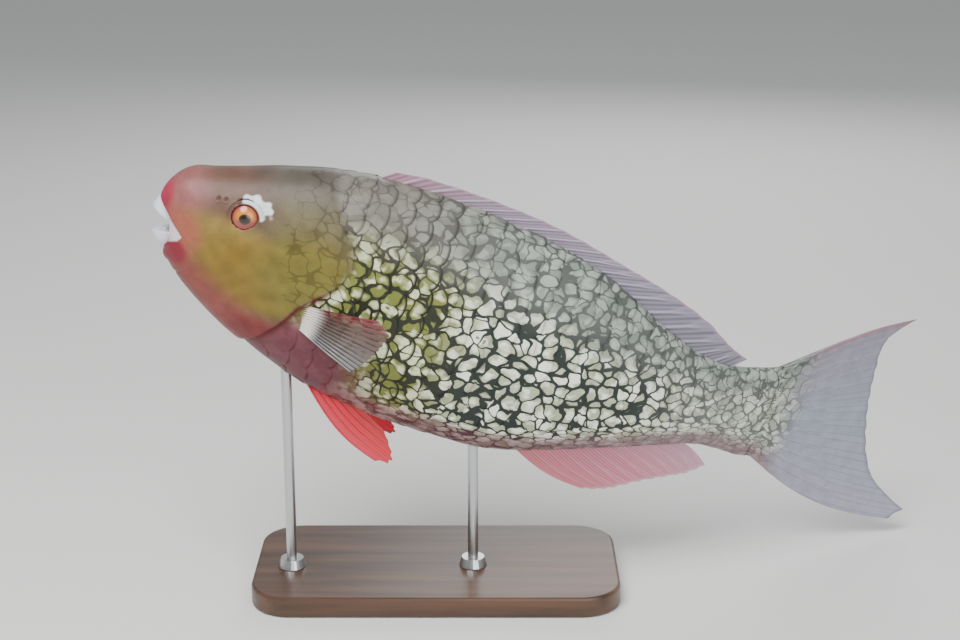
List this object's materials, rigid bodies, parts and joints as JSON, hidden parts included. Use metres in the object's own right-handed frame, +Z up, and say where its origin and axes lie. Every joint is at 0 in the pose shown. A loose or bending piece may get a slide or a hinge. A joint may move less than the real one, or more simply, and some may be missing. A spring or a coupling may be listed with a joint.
{
  "type": "parrotfish display model",
  "caption": "Life-size parrotfish, mouth open to show its beak, tail bent aside, held nose-up on a flat base by two thin rods.",
  "frame": {"origin": "centre of the underside of the stand's base", "axes": "+X towards the tail, -X the way the fish faces, -Y its left side, +Z up"},
  "size_m": [0.4471, 0.1583, 0.2485],
  "materials": {
    "head_skin": "painted, moist gloss",
    "gill_skin": "painted, moist gloss",
    "torso_skin": "painted scales, moist gloss",
    "tail_skin": "painted scales, moist gloss",
    "beak": "enamel gloss",
    "eye": "high gloss",
    "dorsal_fin": "satin",
    "anal_fin": "satin",
    "caudal_fin": "satin",
    "pelvic_fin": "satin",
    "pectoral_fin": "satin",
    "stand_wood": "dark, waxed",
    "stand_steel": "satin"
  },
  "bodies": {
    "root": {"head": "head_skin", "gill_cover_left": "gill_skin", "gill_cover_right": "gill_skin", "eye_left": "eye", "eye_right": "eye", "upper_beak": "beak", "lower_beak": "beak", "torso": "torso_skin", "tail": "tail_skin", "dorsal_fin": "dorsal_fin", "anal_fin": "anal_fin", "caudal_fin": "caudal_fin", "pelvic_fin_left": "pelvic_fin", "pelvic_fin_right": "pelvic_fin", "pectoral_fin_left": "pectoral_fin", "pectoral_fin_right": "pectoral_fin", "stand_base": "stand_wood", "stand_rod_front": "stand_steel", "stand_rod_rear": "stand_steel"}
  },
  "joints": []
}
